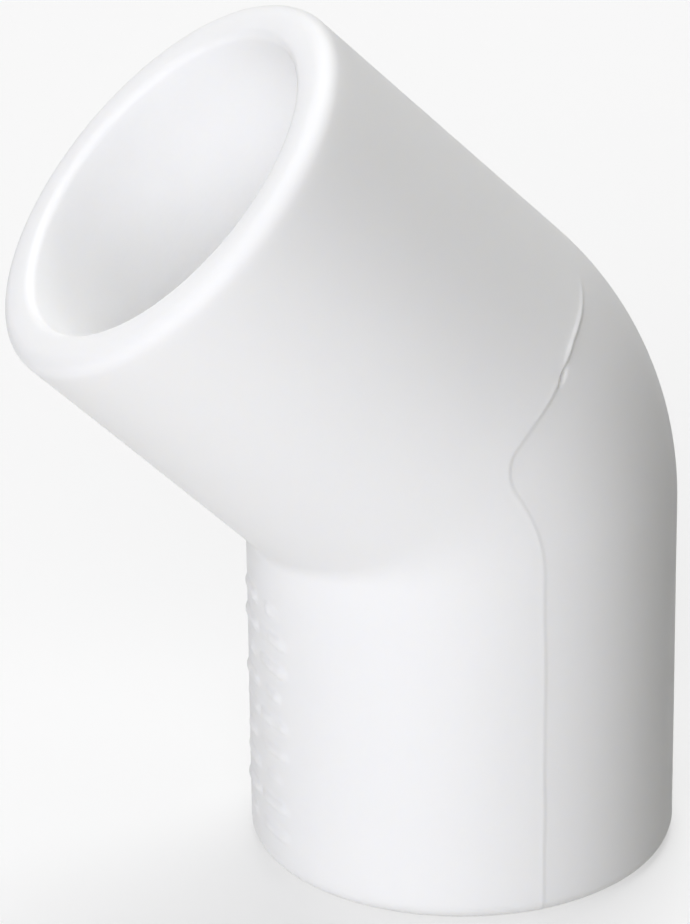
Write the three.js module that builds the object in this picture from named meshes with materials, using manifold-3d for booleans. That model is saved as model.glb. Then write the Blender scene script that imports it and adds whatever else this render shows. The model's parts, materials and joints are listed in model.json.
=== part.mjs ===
// A 45 degree slip elbow for nominal 1/2 inch PVC pipe. It is one injection-moulded piece: two hubs joined by a bend,
// each hub with a tapered socket that ends at a pipe stop, and a waterway that bends between the two stops.
// Millimetres, +Z up. The lower socket points straight down, and the upper one leans towards -X in the XZ plane.
// The origin is the centre of the base of the part's bounding box.
import * as THREE from "three";
import { ParametricGeometry } from "three/addons/geometries/ParametricGeometry.js";
import { mergeVertices } from "three/addons/utils/BufferGeometryUtils.js";
import Module from "manifold-3d";

// Driving dimensions, in millimetres.
const hubRadius = 13.5; // outside of both hubs and of the bend
const centreToMouth = 27.2; // from where the two centrelines cross to each mouth
const bendRadius = 10.5; // of the centreline
const socketMouthRadius = 10.77;
const socketStopRadius = 10.615; // the socket tapers, so that the pipe wedges before it reaches the stop
const socketDepth = 20.8;
const waterwayRadius = 9;
const rimRound = 1.1; // outer edge of each mouth
const lipRound = 0.6; // inner edge of each mouth
const bendAngle = THREE.MathUtils.degToRad(45);

// Raised marks on the crotch side of the lower hub: two columns of plain bars and shorter pips.
const markRise = 0.2;
const markRoot = 1; // how far a mark is sunk into the wall that carries it
const markHeight = 0.7;
const barWidth = 2.4;
const pipWidth = 0.9;
const markPitch = 1.9;
const markRows = 9;
const firstMark = 2.9; // centre of the lowest row, above the mouth
const markColumnAngle = THREE.MathUtils.degToRad(8); // each column's angle from the crotch line
const pipEvery = 3; // one mark in three is a pip

// Fineness of the facets.
const columns = 60; // a multiple of 4, so that the hub is exactly as wide as its diameter
const bendSteps = 8;
const roundSteps = 4;

const tangentLength = bendRadius * Math.tan(bendAngle / 2); // from the crossing of the centrelines to an end of the bend
const straightLength = centreToMouth - tangentLength; // from an end of the bend to its mouth

// A point on a wall that follows the bent centreline. A ring of the wall is {radius, turn, run}: `turn` is the angle
// turned through from the lower hub, and `run` the distance straight on from that end of the bend towards the mouth.
// `theta` goes round the ring, and is 0 on the outside of the bend. The pivot of the bend is at x = -bendRadius.
function wallPoint({ radius, turn, run }, theta, target) {
  const lever = bendRadius + radius * Math.cos(theta); // distance out from the pivot
  if (lever < 0) {
    // The wall of a hub passes behind the pivot here, so it runs straight on to the crotch, where the hubs meet.
    run = Math.max(run, -lever * Math.tan(bendAngle / 2));
    turn = turn < bendAngle / 2 ? 0 : bendAngle;
  }
  const towardsMouth = turn < bendAngle / 2 ? -run : run;
  return target.set(
    -bendRadius + lever * Math.cos(turn) - towardsMouth * Math.sin(turn),
    radius * Math.sin(theta),
    straightLength + lever * Math.sin(turn) + towardsMouth * Math.cos(turn),
  );
}

// Rings of one hub as [radius, distance in from the mouth], from the outer wall over the rim to the waterway.
function hubRings() {
  const quarter = Array.from({ length: roundSteps + 1 }, (_, i) => (i / roundSteps) * (Math.PI / 2));
  return [
    ...quarter.map((a) => [hubRadius - rimRound * (1 - Math.cos(a)), rimRound * (1 - Math.sin(a))]),
    ...quarter.map((a) => [socketMouthRadius + lipRound * (1 - Math.sin(a)), lipRound * (1 - Math.cos(a))]),
    [socketStopRadius, socketDepth],
    [waterwayRadius, socketDepth],
  ];
}

const bendRings = (radius) =>
  Array.from({ length: bendSteps + 1 }, (_, i) => ({ radius, turn: (bendAngle * i) / bendSteps, run: 0 }));

// The whole surface, as rings that go once round the wall's own section: from the lower stop out of the lower socket,
// over its rim, up the outside, over the upper rim, down the upper socket and back along the waterway.
function mouldedBody() {
  const endRings = (turn) => hubRings().map(([radius, inset]) => ({ radius, turn, run: straightLength - inset }));
  const rings = [
    ...endRings(0).reverse(),
    ...bendRings(hubRadius),
    ...endRings(bendAngle),
    ...bendRings(waterwayRadius).reverse(),
  ];
  const surface = (u, v, target) => {
    const ring = rings[Math.round(v * rings.length) % rings.length];
    return wallPoint(ring, (Math.round(u * columns) % columns) * ((2 * Math.PI) / columns), target);
  };
  return new ParametricGeometry(surface, columns, rings.length);
}

// One raised mark, as a block whose outer face stands clear of the lower hub.
function mark(row, side) {
  const isPip = (row + (side > 0 ? 1 : 0)) % pipEvery === 0;
  const block = new THREE.BoxGeometry(markRoot + markRise, isPip ? pipWidth : barWidth, markHeight);
  block.translate(-hubRadius - markRise + (markRoot + markRise) / 2, 0, firstMark + row * markPitch);
  return block.rotateZ(side * markColumnAngle);
}

const wasm = await Module();
wasm.setup();

// A closed mesh as a manifold-3d solid. Triangles that have collapsed onto an edge are dropped.
function toSolid(geometry) {
  const bare = geometry.clone().deleteAttribute("normal").deleteAttribute("uv");
  const merged = mergeVertices(bare, 1e-4);
  const corners = merged.index.array;
  const kept = [];
  for (let i = 0; i < corners.length; i += 3) {
    const [a, b, c] = corners.subarray(i, i + 3);
    if (a !== b && b !== c && c !== a) kept.push(a, b, c);
  }
  const mesh = new wasm.Mesh({
    numProp: 3,
    vertProperties: new Float32Array(merged.attributes.position.array),
    triVerts: new Uint32Array(kept),
  });
  return new wasm.Manifold(mesh);
}

function toGeometry(solid) {
  const mesh = solid.getMesh();
  const geometry = new THREE.BufferGeometry();
  geometry.setAttribute("position", new THREE.BufferAttribute(mesh.vertProperties, mesh.numProp));
  geometry.setIndex(new THREE.BufferAttribute(mesh.triVerts, 1));
  geometry.computeVertexNormals();
  return geometry;
}

let body = toSolid(mouldedBody());
for (const side of [-1, 1])
  for (let row = 0; row < markRows; row += 1) body = body.add(toSolid(mark(row, side)));

const whitePvc = new THREE.MeshStandardMaterial({ color: 0xeeeeee, roughness: 0.45, metalness: 0 });
const elbowBody = new THREE.Mesh(toGeometry(body), whitePvc);
elbowBody.name = "elbow_body";

const box = new THREE.Box3().setFromObject(elbowBody);
const middle = box.getCenter(new THREE.Vector3());
elbowBody.position.set(-middle.x, -middle.y, -box.min.z);

const elbow = new THREE.Group();
elbow.add(elbowBody);

export default elbow;
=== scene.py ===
import json
import math

import bmesh
import bpy
from mathutils import Matrix, Vector, noise


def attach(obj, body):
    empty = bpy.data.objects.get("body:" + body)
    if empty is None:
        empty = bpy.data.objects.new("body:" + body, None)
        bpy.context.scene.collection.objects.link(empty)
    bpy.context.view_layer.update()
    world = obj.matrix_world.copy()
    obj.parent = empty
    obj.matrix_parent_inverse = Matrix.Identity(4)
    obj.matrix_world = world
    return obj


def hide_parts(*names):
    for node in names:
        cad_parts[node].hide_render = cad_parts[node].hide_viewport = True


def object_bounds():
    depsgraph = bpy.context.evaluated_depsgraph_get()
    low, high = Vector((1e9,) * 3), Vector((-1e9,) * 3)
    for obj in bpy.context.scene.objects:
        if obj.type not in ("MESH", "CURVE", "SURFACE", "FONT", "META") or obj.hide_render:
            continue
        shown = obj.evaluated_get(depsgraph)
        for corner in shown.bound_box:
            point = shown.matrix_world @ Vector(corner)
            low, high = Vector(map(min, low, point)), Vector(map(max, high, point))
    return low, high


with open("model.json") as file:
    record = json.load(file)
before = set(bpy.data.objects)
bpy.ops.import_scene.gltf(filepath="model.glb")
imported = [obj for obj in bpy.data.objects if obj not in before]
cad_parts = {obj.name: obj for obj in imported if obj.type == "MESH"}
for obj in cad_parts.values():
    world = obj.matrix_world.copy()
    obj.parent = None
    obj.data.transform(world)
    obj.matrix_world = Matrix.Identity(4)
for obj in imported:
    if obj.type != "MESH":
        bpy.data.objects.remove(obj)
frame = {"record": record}  # a 45 degree slip elbow for nominal 1/2 inch PVC pipe, moulded in one piece
cad_low, cad_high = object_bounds()

MM = 0.001
mounts = {m["name"]: Vector(m["pos_m"]) for m in frame["record"]["mounts"]}

# The part's driving sizes. These four come from the frame, for a bend of this angle.
BEND_ANGLE = math.radians(45)
HUB_RADIUS = (cad_high.y - cad_low.y) / 2
LOWER_AXIS_X = mounts["lower_socket_face"].x
CENTRE_TO_MOUTH = (LOWER_AXIS_X - mounts["upper_socket_face"].x) / math.sin(BEND_ANGLE)
SOCKET_DEPTH = mounts["lower_pipe_stop"].z

# The rest are the CAD's own.
BEND_RADIUS = 10.5 * MM  # of the centreline
SOCKET_MOUTH_RADIUS = 10.77 * MM
SOCKET_STOP_RADIUS = 10.615 * MM
WATERWAY_RADIUS = 9 * MM
RIM_ROUND = 1.1 * MM
LIP_ROUND = 0.6 * MM

# Rounds that only the visual has.
STOP_ROUND = 0.25 * MM
CROTCH_ROUND = 1.2 * MM  # radius of the fillet where the hubs meet on the inside of the bend
CROTCH_BLEND = 1.5 * MM  # how gently that fillet hands over to the bend itself

# The mould's parting line: up both flanks of the lower hub, round a corner and on along the upper hub's foot,
# where it dies away before the outside of the bend.
PARTING_CORNER = 2.0 * MM
PARTING_WOBBLE = 0.12 * MM  # how far it wanders from its true course
WOBBLE_LENGTH = 3 * MM
PEAK_HEIGHT = 0.06 * MM  # the wall rises a little towards the line from both sides
PEAK_WIDTH = 1.5 * MM
RIDGE_HEIGHT = 0.03 * MM  # and the line itself is a thin ridge
RIDGE_WIDTH = 0.17 * MM
FLASH_HEIGHT = 0.13 * MM  # what the ridge gains where the mould flashed, round the upper hub's foot
FLASH_ANGLE = math.radians(48)  # where the flash is thickest, from the outside of the bend
FLASH_SPREAD = math.radians(18)
FLASH_ROUGHNESS = 0.9 * MM  # length of the flash's uneven stretches
FLASH_MEAN = 0.8  # the uneven flash's height, as a share of FLASH_HEIGHT, and how far it swings
FLASH_SWING = 0.4
FOOT_STATIONS = (1.7, 1.95)  # where the line changes from how it is on the flanks to how it is at the foot
STEP_WIDTH = 0.28 * MM
FLANK_STEP = 0.04 * MM  # the wall behind the line sits this much lower
FOOT_STEP = 0.07 * MM
NICK_ANGLE = math.radians(-58.5)  # where a crumb of the flash has broken off
NICK_OFFSET = 0.14 * MM
NICK_DEPTH = 0.34 * MM
NICK_LENGTH = 0.55 * MM
NICK_WIDTH = 0.17 * MM
FADE_START = math.radians(23)  # the line dies away before it reaches the outside of the bend
FADE_END = math.radians(36)

# Plain raised bars and pips on the crotch side of the lower hub.
MARK_RISE = 0.2 * MM
MARK_HEIGHT = 0.7 * MM
MARK_CORNER = 0.25 * MM
MARK_FLANK = 0.19 * MM
MARK_END_TAPER = 0.4  # a mark's ends slope off more gently than its long sides
MARK_WEAR = 0.5  # how much lower the faintest marks are
WEAR_LENGTH = 1.3 * MM
WEAR_RANGE = (-0.3, 0.4)  # the noise's values from no wear to full wear
BAR_WIDTH = 2.4 * MM
PIP_WIDTH = 0.9 * MM
MARK_PITCH = 1.9 * MM
MARK_ROWS = 9
FIRST_MARK = 2.9 * MM
MARK_COLUMN_ANGLE = math.radians(8)
PIP_EVERY = 3
MARK_FIELD = math.radians(150)  # no mark is nearer than this to the outside of the bend

WAVE_HEIGHT = 0.02 * MM  # how far a moulded wall strays from a true cylinder
WAVE_LENGTH = 9 * MM
RIM_FADE = (0.2, 0.9)  # all relief dies away over this stretch of a rim's round

# Fineness of the mesh.
COLUMNS = 216
HUB_STEPS = 42
BEND_STEPS = 34
ROUND_STEPS = 9
STOP_SKIP = 3  # the stops' small rounds take every third of those steps
SOCKET_STEPS = 12
WATERWAY_STEPS = 12
MARK_REACH = 0.45 * MM  # faces this near a mark's outline are split
MARK_SPLITS = 2
PARTING_REACH = 0.9 * MM
PARTING_SPLITS = 3
REACH_SHRINK = 0.6  # what is left of the reach at each further split

INSIDE = -9.0  # the station of a point that isn't on the outside wall
STATION_SLACK = 0.01  # a station this far past the lower rim's end still counts as outside
FAR_AWAY = 9 * MM

TAN_HALF = math.tan(BEND_ANGLE / 2)
TANGENT_LENGTH = BEND_RADIUS * TAN_HALF
STRAIGHT_LENGTH = CENTRE_TO_MOUTH - TANGENT_LENGTH
PIVOT_X = LOWER_AXIS_X - BEND_RADIUS


def smooth(low, high, value):
    """0 below low, 1 above high, and a smooth rise between them."""
    t = min(1.0, max(0.0, (value - low) / (high - low)))
    return t * t * (3 - 2 * t)


def wall_point(radius, theta, turn, run):
    """A point on a wall that follows the bent centreline. Theta is 0 on the outside of the bend. Turn is the
    angle turned through from the lower hub. Run goes straight on from that end of the bend to its mouth."""
    lever = BEND_RADIUS + radius * math.cos(theta)
    bend = local_bend(lever)
    shift = lever - bend
    ahead = -run if turn < BEND_ANGLE / 2 else run
    return Vector((
        PIVOT_X + shift + bend * math.cos(turn) - ahead * math.sin(turn),
        radius * math.sin(theta),
        STRAIGHT_LENGTH + shift * TAN_HALF + bend * math.sin(turn) + ahead * math.cos(turn),
    ))


def local_bend(lever):
    """The bend's own radius at this distance from the pivot. It never falls below the crotch's fillet."""
    over = lever - CROTCH_ROUND
    return CROTCH_ROUND + (over + math.hypot(over, CROTCH_BLEND)) / 2


def slack(radius, theta):
    """How far a hub's straight wall stops short of the end of the bend, on the crotch side."""
    lever = BEND_RADIUS + radius * math.cos(theta)
    return (local_bend(lever) - lever) * TAN_HALF


def outer_place(theta, station):
    """(turn, run) on the outside wall. Station is 0 at the lower rim, 1 to 2 round the bend and 3 at the
    upper rim."""
    start = slack(HUB_RADIUS, theta)
    full = STRAIGHT_LENGTH - RIM_ROUND - start
    if station < 1:
        return 0.0, (1 - station) * full
    if station > 2:
        return BEND_ANGLE, (station - 2) * full
    return BEND_ANGLE * (station - 1), 0.0


def hub_frame(theta, turn):
    """The wall's outward direction at theta, and the way along the hub towards its mouth."""
    outward = Vector((
        math.cos(theta) * math.cos(turn),
        math.sin(theta),
        math.cos(theta) * math.sin(turn),
    ))
    onward = Vector((-math.sin(turn), 0, math.cos(turn)))
    return outward, onward if turn > BEND_ANGLE / 2 else -onward


def outer_point(theta, station):
    """A point of the smooth outside wall and its normal. Past 0 and 3 the station goes on over the rims'
    rounds."""
    turn, run = outer_place(theta, min(3.0, max(0.0, station)))
    over = max(-station, station - 3, 0.0) * math.pi / 2
    radius = HUB_RADIUS - RIM_ROUND * (1 - math.cos(over))
    point = wall_point(HUB_RADIUS, theta, turn, run)
    outward, onward = hub_frame(theta, turn)
    point += outward * (radius - HUB_RADIUS) + onward * RIM_ROUND * math.sin(over)
    return point, outward * math.cos(over) + onward * math.sin(over)


def parting_distance(theta, station):
    """How far a point lies behind the parting line, where the wall is lower. In front it is negative."""
    turn, run = outer_place(theta, min(3.0, max(0.0, station)))
    bend = local_bend(BEND_RADIUS + HUB_RADIUS * math.cos(theta))
    below_foot = -run if station > 2 else run + (BEND_ANGLE - turn) * bend
    behind_flank = HUB_RADIUS * (math.pi / 2 - abs(theta))
    p = PARTING_CORNER - below_foot
    q = PARTING_CORNER - behind_flank
    return PARTING_CORNER - math.hypot(max(p, 0), max(q, 0)) - min(max(p, q), 0)


def parting_relief(theta, station):
    """The parting line: a wide low peak, a thin ridge that is heavier where the mould flashed, a step down
    and a nick."""
    shown = smooth(FADE_START, FADE_END, abs(theta))
    if shown == 0:
        return 0.0
    point, _ = outer_point(theta, station)
    distance = parting_distance(theta, station)
    peak = PEAK_HEIGHT * math.exp(-abs(distance) / PEAK_WIDTH)
    distance += PARTING_WOBBLE * noise.noise(point / WOBBLE_LENGTH)
    at_foot = smooth(*FOOT_STATIONS, station)
    flash = math.exp(-(((abs(theta) - FLASH_ANGLE) / FLASH_SPREAD) ** 2)) * at_foot
    uneven = FLASH_MEAN + FLASH_SWING * noise.noise(point / FLASH_ROUGHNESS)
    height = RIDGE_HEIGHT + FLASH_HEIGHT * flash * uneven
    ridge = height * math.exp(-((distance / RIDGE_WIDTH) ** 2))
    step = FLANK_STEP + (FOOT_STEP - FLANK_STEP) * at_foot
    along = HUB_RADIUS * (theta - NICK_ANGLE) / NICK_LENGTH
    across = (distance - NICK_OFFSET) / NICK_WIDTH
    nick = NICK_DEPTH * math.exp(-along * along - across * across) * at_foot
    return (peak + ridge - step * smooth(-STEP_WIDTH, STEP_WIDTH, distance) - nick) * shown


def marks():
    """Each raised mark as (theta, height of its centre above the mouth, width)."""
    for side in (-1, 1):
        for row in range(MARK_ROWS):
            is_pip = (row + (1 if side > 0 else 0)) % PIP_EVERY == 0
            theta = math.pi + side * MARK_COLUMN_ANGLE
            yield theta, FIRST_MARK + row * MARK_PITCH, PIP_WIDTH if is_pip else BAR_WIDTH


MARKS = list(marks())


def mark_distance(theta, station):
    """Distance outside the nearest raised mark's outline, and negative on the mark."""
    if not 0 <= station <= 1 or abs(theta) < MARK_FIELD:
        return FAR_AWAY
    height = outer_point(theta, station)[0].z
    nearest = FAR_AWAY
    for mark_theta, mark_height, width in MARKS:
        aside = abs((theta - mark_theta + math.pi) % (2 * math.pi) - math.pi) * HUB_RADIUS
        u = aside - width / 2 + MARK_CORNER
        u *= MARK_END_TAPER if u > 0 else 1
        v = abs(height - mark_height) - MARK_HEIGHT / 2 + MARK_CORNER
        outside = math.hypot(max(u, 0), max(v, 0)) + min(max(u, v), 0) - MARK_CORNER
        nearest = min(nearest, outside)
    return nearest


def relief(theta, station):
    """How far the finished wall stands proud of the smooth one."""
    point, _ = outer_point(theta, station)
    wave = WAVE_HEIGHT * noise.noise(point / WAVE_LENGTH)
    wear = MARK_WEAR * smooth(*WEAR_RANGE, noise.noise(point / WEAR_LENGTH))
    mark = MARK_RISE * (1 - wear) * (1 - smooth(-MARK_FLANK, MARK_FLANK, mark_distance(theta, station)))
    over_rim = max(-station, station - 3, 0.0)
    return (wave + mark + parting_relief(theta, station)) * (1 - smooth(*RIM_FADE, over_rim))


def end_profile():
    """Rings of one hub as (radius, inset from the mouth), from the rim's inner edge in to the waterway."""
    quarter = [i / ROUND_STEPS * math.pi / 2 for i in range(ROUND_STEPS + 1)]
    lip = [
        (SOCKET_MOUTH_RADIUS + LIP_ROUND * (1 - math.sin(a)), LIP_ROUND * (1 - math.cos(a)))
        for a in quarter
    ]
    taper = SOCKET_MOUTH_RADIUS - SOCKET_STOP_RADIUS
    length = SOCKET_DEPTH - STOP_ROUND - LIP_ROUND
    socket = [
        (SOCKET_MOUTH_RADIUS - taper * i / SOCKET_STEPS, LIP_ROUND + length * i / SOCKET_STEPS)
        for i in range(1, SOCKET_STEPS)
    ]
    corner = [
        (SOCKET_STOP_RADIUS - STOP_ROUND * (1 - math.cos(a)), SOCKET_DEPTH - STOP_ROUND * (1 - math.sin(a)))
        for a in quarter[::STOP_SKIP]
    ]
    edge = [
        (WATERWAY_RADIUS + STOP_ROUND * (1 - math.sin(a)), SOCKET_DEPTH + STOP_ROUND * (1 - math.cos(a)))
        for a in quarter[::STOP_SKIP]
    ]
    return lip + socket + corner + edge


def column_angles():
    return [2 * math.pi * i / COLUMNS for i in range(COLUMNS)]


def wall_rows():
    """Every ring of the moulding in order round the wall's section, as (station, depth in from the mouth,
    function of theta that gives the point). On the outside wall the depth is 0, and elsewhere the station is
    INSIDE."""
    hub = [i / HUB_STEPS for i in range(HUB_STEPS)]
    bend = [1 + i / BEND_STEPS for i in range(BEND_STEPS)]
    over = [i / ROUND_STEPS for i in range(1, ROUND_STEPS + 1)]
    lower_rim = [-s for s in reversed(over)]
    upper_hub = [2 + s for s in hub] + [3.0]
    upper_rim = [3 + s for s in over]
    for station in lower_rim + hub + bend + upper_hub + upper_rim:
        yield station, 0.0, lambda theta, s=station: outer_point(theta, s)[0]

    def inner(radius, turn, inset):
        return lambda theta: wall_point(
            radius, theta, turn, STRAIGHT_LENGTH - inset - slack(radius, theta)
        )

    profile = end_profile()
    for radius, inset in profile:
        yield INSIDE, inset, inner(radius, BEND_ANGLE, inset)
    for i in range(WATERWAY_STEPS, -1, -1):
        turn = BEND_ANGLE * i / WATERWAY_STEPS
        yield INSIDE, STRAIGHT_LENGTH, lambda theta, t=turn: wall_point(WATERWAY_RADIUS, theta, t, 0)
    for radius, inset in reversed(profile):
        yield INSIDE, inset, inner(radius, 0.0, inset)


def rough_moulding():
    """The moulding as one closed grid of rings and columns. Its points remember where they are."""
    mesh = bmesh.new()
    station_layer = mesh.verts.layers.float.new("station")
    cos_layer = mesh.verts.layers.float.new("cos_theta")
    sin_layer = mesh.verts.layers.float.new("sin_theta")
    depth_layer = mesh.verts.layers.float.new("bore_depth")
    rows = []
    for station, depth, point in wall_rows():
        row = []
        for theta in column_angles():
            vertex = mesh.verts.new(point(theta))
            vertex[station_layer] = station
            vertex[depth_layer] = depth
            vertex[cos_layer] = math.cos(theta)
            vertex[sin_layer] = math.sin(theta)
            row.append(vertex)
        rows.append(row)
    for row, after in zip(rows, rows[1:] + rows[:1]):
        for i in range(COLUMNS):
            j = (i + 1) % COLUMNS
            mesh.faces.new((row[i], row[j], after[j], after[i]))
    return mesh


def place_of(mesh, vertex):
    """(theta, station) of a point of the outside wall, or None."""
    layers = mesh.verts.layers.float
    station = vertex[layers["station"]]
    if station < -1 - STATION_SLACK:
        return None
    return math.atan2(vertex[layers["sin_theta"]], vertex[layers["cos_theta"]]), station


def refine(mesh, distance_to, reach, times):
    """Splits the outside wall's faces near a feature again and again, closer to it each time."""
    for level in range(times):
        near = reach * REACH_SHRINK ** level
        wanted = set()
        for vertex in mesh.verts:
            place = place_of(mesh, vertex)
            if place and abs(distance_to(*place)) < near:
                wanted.update(e for f in vertex.link_faces for e in f.edges)
        edges = [e for e in wanted if all(place_of(mesh, v) for v in e.verts)]
        bmesh.ops.subdivide_edges(mesh, edges=edges, cuts=1, use_grid_fill=True)


def moulding():
    """The finished mesh of the whole elbow."""
    mesh = rough_moulding()
    refine(mesh, mark_distance, MARK_REACH, MARK_SPLITS)
    refine(mesh, parting_distance, PARTING_REACH, PARTING_SPLITS)
    for vertex in mesh.verts:
        place = place_of(mesh, vertex)
        if place:
            point, normal = outer_point(*place)
            vertex.co = point + normal * relief(*place)
    bmesh.ops.recalc_face_normals(mesh, faces=mesh.faces)
    for face in mesh.faces:
        face.smooth = True
    data = bpy.data.meshes.new("elbow_moulding")
    mesh.to_mesh(data)
    mesh.free()
    return data


def link(name, data):
    """A new object of the scene."""
    made = bpy.data.objects.new(name, data)
    bpy.context.scene.collection.objects.link(made)
    return made


def add_node(tree, kind, **values):
    """A shader node whose settings and inputs have these values."""
    node = tree.nodes.new(kind)
    for name, value in values.items():
        label = name.replace("_", " ").title()
        if label in node.inputs:
            node.inputs[label].default_value = value
        else:
            setattr(node, name, value)
    return node


def add_noise(tree, place, wave_length, **values):
    """Noise whose features are about wave_length across."""
    made = add_node(tree, "ShaderNodeTexNoise", scale=1 / wave_length, **values)
    tree.links.new(place, made.inputs["Vector"])
    return made.outputs["Fac"]


def add_range(tree, source, low, high, source_range):
    """The source's own range spread over the range from low to high."""
    start, end = source_range
    made = add_node(tree, "ShaderNodeMapRange", from_min=start, from_max=end, to_min=low, to_max=high)
    tree.links.new(source, made.inputs["Value"])
    return made.outputs["Result"]


def add_bump(tree, height, depth, before=None):
    """A bump this deep, on top of the one before it."""
    made = add_node(tree, "ShaderNodeBump", distance=depth)
    tree.links.new(height, made.inputs["Height"])
    if before:
        tree.links.new(before, made.inputs["Normal"])
    return made.outputs["Normal"]


# The plastic.
PVC_IOR = 1.53
PVC_SPECULAR = 0.35
PVC_DEPTH = 2.5 * MM  # how far light wanders under the surface
PVC_DEPTH_SHARE = 0.5
PVC_DEPTH_RGB = (1.0, 0.95, 0.85)
PVC_TINTS = ((0.3, (0.915, 0.92, 0.925, 1)), (0.65, (0.935, 0.938, 0.94, 1)), (1.0, (0.975, 0.975, 0.975, 1)))
NOISE_RANGE = (0.3, 0.7)  # where most of a noise's values lie
MOTTLE_LENGTH = 14 * MM
SOCKET_PAINTED_LIGHT = 0.35  # painted light: how far the sockets' colour moves up the tints, to paint their shade lighter
SOCKET_PAINTED_LIGHT_FROM_TO = (0.3 * MM, 4 * MM)  # and how deep in from the mouth they do so
SCUFF_LENGTH = 2.6 * MM
ROUGHNESS_RANGE = (0.5, 0.62)
PEEL_LENGTH = 2.4 * MM  # the soft waviness of a moulded skin
PEEL_DEPTH = 0.012 * MM
GRAIN_LENGTH = 0.3 * MM
GRAIN_DEPTH = 0.003 * MM
TURNED_PITCH = 0.25 * MM  # fine turned lines that the core pins leave in the sockets
TURNED_DEPTH = 0.004 * MM


def white_pvc():
    """Rigid white PVC as it comes from the mould: satin, with fine turned lines inside the sockets, whose
    colour is painted paler deeper in from the mouth as painted light over their shade.
    """
    material = bpy.data.materials.new("white_pvc")
    material.use_nodes = True
    tree = material.node_tree
    shader = tree.nodes["Principled BSDF"]
    shader.inputs["IOR"].default_value = PVC_IOR
    shader.inputs["Specular IOR Level"].default_value = PVC_SPECULAR
    shader.inputs["Subsurface Weight"].default_value = PVC_DEPTH_SHARE
    shader.inputs["Subsurface Radius"].default_value = PVC_DEPTH_RGB
    shader.inputs["Subsurface Scale"].default_value = PVC_DEPTH
    place = add_node(tree, "ShaderNodeTexCoord").outputs["Object"]

    depth = add_node(tree, "ShaderNodeAttribute", attribute_name="bore_depth").outputs["Fac"]

    mottle = add_noise(tree, place, MOTTLE_LENGTH, detail=3.0)
    shade = add_node(tree, "ShaderNodeMath", operation="ADD")
    tree.links.new(mottle, shade.inputs[0])
    # painted light: deeper in from the mouth the sockets' colour moves towards the palest tint, painting
    # light over the shade inside them
    tree.links.new(add_range(tree, depth, 0, SOCKET_PAINTED_LIGHT, SOCKET_PAINTED_LIGHT_FROM_TO), shade.inputs[1])
    # the ramp turns random mottle into tone, and also carries the sockets' painted light
    tone_and_painted_light = add_node(tree, "ShaderNodeValToRGB")
    tone_and_painted_light.color_ramp.elements.new(PVC_TINTS[1][0])
    for element, (position, colour) in zip(tone_and_painted_light.color_ramp.elements, PVC_TINTS):
        element.position = position
        element.color = colour
    tree.links.new(shade.outputs["Value"], tone_and_painted_light.inputs["Fac"])
    tree.links.new(tone_and_painted_light.outputs["Color"], shader.inputs["Base Color"])

    scuffs = add_noise(tree, place, SCUFF_LENGTH, detail=6.0, roughness=0.65)
    tree.links.new(add_range(tree, scuffs, *ROUGHNESS_RANGE, NOISE_RANGE), shader.inputs["Roughness"])

    peel = add_bump(tree, add_noise(tree, place, PEEL_LENGTH, detail=1.0), PEEL_DEPTH)
    grain = add_bump(tree, add_noise(tree, place, GRAIN_LENGTH, detail=2.0), GRAIN_DEPTH, before=peel)
    turned = add_node(
        tree, "ShaderNodeTexNoise", noise_dimensions="1D", scale=1 / TURNED_PITCH, detail=2.0
    )
    tree.links.new(depth, turned.inputs["W"])
    lines = add_bump(tree, turned.outputs["Fac"], TURNED_DEPTH, before=grain)
    tree.links.new(lines, shader.inputs["Normal"])
    return material


def build_elbow():
    """The fitting itself, one moulded piece."""
    elbow = link("elbow_moulding", moulding())
    elbow.data.materials.append(white_pvc())
    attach(elbow, "root")
    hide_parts("elbow_body")


# The studio, in metres.
LIGHT_DISTANCE = 1.0
LIGHT_SIZE = 0.7
STUDIO_BELOW = (0.487, 0.482, 0.466, 1)
STUDIO_ABOVE = (0.098, 0.096, 0.093, 1)
HORIZON = (-0.02, 0.2)  # heights in the sky between which it goes from the first to the second
DIM_SIDE = (0.906, 0.424, 0)  # behind the part and to the right, as the camera sees it
DIM_SIDE_EDGES = (0.25, 0.8)  # from where the dimming begins to where it is full
DIM_SIDE_SHADE = 0.15
WHITE = (1, 1, 1, 1)
BLACK = (0, 0, 0, 1)
FLOOR_REACH = 3.0
FLOOR_COLOUR = (0.55, 0.55, 0.55, 1)
FLOOR_GLOW = 0.42  # keeps it pale out to the horizon, where the lights don't reach
BACKDROP_DISTANCE = 2.6
BACKDROP_HEIGHT = 3.0
BACKDROP_GLOW = 0.477  # as bright as the floor's far end, so that the two meet without a line
BACKDROP_SIDES = 96
COOL_WHITE = (0.92, 0.925, 1.0)

# The camera's place, as it stands round the crossing of the two hubs' axes.
CROSSING = Vector((LOWER_AXIS_X, 0, CENTRE_TO_MOUTH))
CAMERA_AZIMUTH = math.radians(-20.11)
CAMERA_ELEVATION = math.radians(23.24)
CAMERA_ROLL = math.radians(-0.72)
CAMERA_DISTANCE = 302.1 * MM
CAMERA_LENS = 189.2
AIM_ASIDE = -7.21 * MM
AIM_UP = -1.81 * MM
SENSOR_WIDTH = 36
CLIP_START = 10 * MM
CLIP_END = 10


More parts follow.
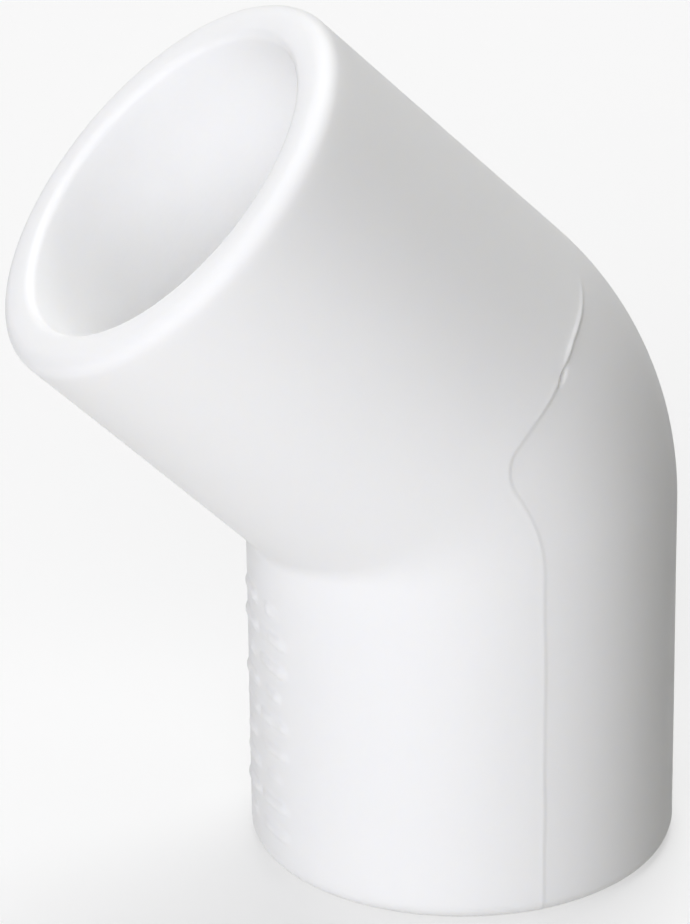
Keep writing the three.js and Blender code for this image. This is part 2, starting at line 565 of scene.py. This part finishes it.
def add_camera():
    """The camera as it stood for the photograph."""
    camera = link("camera", bpy.data.cameras.new("camera"))
    camera.data.lens = CAMERA_LENS
    camera.data.sensor_width = SENSOR_WIDTH
    back = Vector((
        math.sin(CAMERA_AZIMUTH) * math.cos(CAMERA_ELEVATION),
        -math.cos(CAMERA_AZIMUTH) * math.cos(CAMERA_ELEVATION),
        math.sin(CAMERA_ELEVATION),
    ))
    level = Vector((math.cos(CAMERA_AZIMUTH), math.sin(CAMERA_AZIMUTH), 0))
    right = Matrix.Rotation(CAMERA_ROLL, 3, back) @ level
    up = back.cross(right)
    axes = Matrix((right, up, back)).transposed()
    place = CROSSING + back * CAMERA_DISTANCE + right * AIM_ASIDE + up * AIM_UP
    camera.matrix_world = Matrix.Translation(place) @ axes.to_4x4()
    camera.data.clip_start = CLIP_START
    camera.data.clip_end = CLIP_END
    bpy.context.scene.camera = camera


def glowing(name, colour, specular, glow):
    """A rough surface that gives off some light of its own."""
    material = bpy.data.materials.new(name)
    material.use_nodes = True
    shader = material.node_tree.nodes["Principled BSDF"]
    shader.inputs["Base Color"].default_value = colour
    shader.inputs["Roughness"].default_value = 0.9
    shader.inputs["Specular IOR Level"].default_value = specular
    shader.inputs["Emission Color"].default_value = WHITE
    shader.inputs["Emission Strength"].default_value = glow
    return material


def add_floor():
    """A plain pale floor."""
    data = bpy.data.meshes.new("floor")
    r = FLOOR_REACH
    data.from_pydata([(-r, -r, 0), (r, -r, 0), (r, r, 0), (-r, r, 0)], [], [(0, 1, 2, 3)])
    data.materials.append(glowing("floor", FLOOR_COLOUR, 0.1, FLOOR_GLOW))
    floor = link("floor", data)
    floor.visible_diffuse = False  # the part stands in even light, as on a light table
    floor.visible_shadow = False


def add_backdrop():
    """A pale wall all round, as the far end of the floor. Only the camera sees it, so it lights nothing."""
    wall = bmesh.new()
    ends = [wall.verts.new((BACKDROP_DISTANCE, 0, z)) for z in (0, BACKDROP_HEIGHT)]
    around = {"cent": (0, 0, 0), "axis": (0, 0, 1), "angle": 2 * math.pi, "steps": BACKDROP_SIDES}
    bmesh.ops.spin(wall, geom=[*ends, wall.edges.new(ends)], use_merge=True, **around)
    data = bpy.data.meshes.new("backdrop")
    wall.to_mesh(data)
    wall.free()
    data.materials.append(glowing("backdrop", BLACK, 0, BACKDROP_GLOW))
    backdrop = link("backdrop", data)
    backdrop.visible_diffuse = False
    backdrop.visible_glossy = False
    backdrop.visible_shadow = False


def add_area(name, azimuth, elevation, watts, colour=(1, 1, 1)):
    """A soft light that looks at the middle of the part from that direction."""
    light = link(name, bpy.data.lights.new(name, "AREA"))
    light.data.shape = "DISK"
    light.data.size = LIGHT_SIZE
    light.data.energy = watts
    light.data.color = colour
    a = math.radians(azimuth)
    e = math.radians(elevation)
    back = Vector((math.sin(a) * math.cos(e), -math.cos(a) * math.cos(e), math.sin(e)))
    light.location = CROSSING + back * LIGHT_DISTANCE
    light.rotation_mode = "QUATERNION"
    light.rotation_quaternion = (-back).to_track_quat("-Z", "Y")


def add_world():
    """A pale studio: bright from below and all round, dimmer overhead, where the lights are, and dim on one
    side."""
    world = bpy.data.worlds.new("studio")
    world.use_nodes = True
    tree = world.node_tree
    direction = add_node(tree, "ShaderNodeTexCoord").outputs["Generated"]
    split = add_node(tree, "ShaderNodeSeparateXYZ")
    tree.links.new(direction, split.inputs["Vector"])
    shade = add_node(tree, "ShaderNodeValToRGB")
    shade.color_ramp.elements[0].color = STUDIO_BELOW
    shade.color_ramp.elements[1].color = STUDIO_ABOVE
    tree.links.new(add_range(tree, split.outputs["Z"], 0, 1, HORIZON), shade.inputs["Fac"])
    aside = add_node(tree, "ShaderNodeVectorMath", operation="DOT_PRODUCT")
    tree.links.new(direction, aside.inputs[0])
    aside.inputs[1].default_value = DIM_SIDE
    dim = add_range(tree, aside.outputs["Value"], 1, DIM_SIDE_SHADE, DIM_SIDE_EDGES)
    tree.links.new(shade.outputs["Color"], tree.nodes["Background"].inputs["Color"])
    tree.links.new(dim, tree.nodes["Background"].inputs["Strength"])
    bpy.context.scene.world = world


bpy.context.scene.view_settings.view_transform = "Standard"
build_elbow()
add_camera()
add_floor()
add_backdrop()
add_area("left", -50, 8, 4.75, COOL_WHITE)
add_area("front", -30, 32, 3.3)
add_area("back", 150, 58, 5.85)
add_area("top", 0, 90, 2.15)
add_world()
